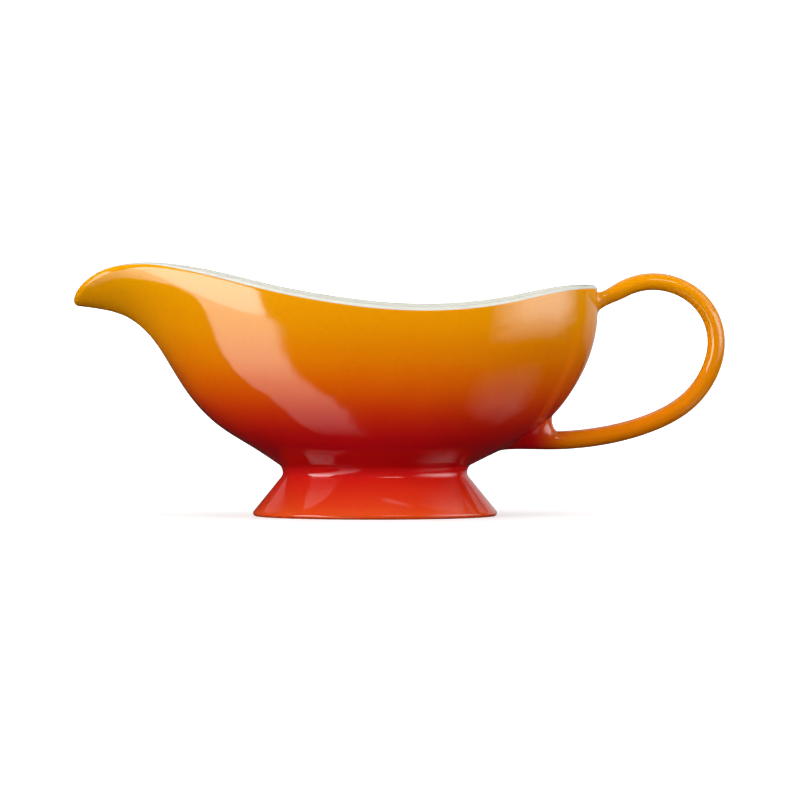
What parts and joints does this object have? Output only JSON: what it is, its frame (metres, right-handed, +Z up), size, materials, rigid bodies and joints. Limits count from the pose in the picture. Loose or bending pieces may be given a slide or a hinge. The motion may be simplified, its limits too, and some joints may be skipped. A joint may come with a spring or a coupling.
{
  "type": "gravy boat",
  "caption": "Footed oval gravy boat in glazed stoneware with a pouring spout, a looped handle and a pale liner glaze.",
  "frame": {"origin": "centre of the bounding box at table level, under the foot", "axes": "+X from the spout towards the handle, +Y across the boat, +Z up"},
  "size_m": [0.2604, 0.0948, 0.1014],
  "materials": {
    "outer_glaze": "glossy orange to red shaded glaze",
    "liner_glaze": "glossy off-white glaze"
  },
  "bodies": {
    "root": {"bowl": "outer_glaze", "bowl_liner": "liner_glaze", "foot": "outer_glaze", "neck_slip_joint": "outer_glaze", "handle": "outer_glaze", "handle_upper_slip_joint": "outer_glaze", "handle_lower_slip_joint": "outer_glaze"}
  },
  "joints": []
}
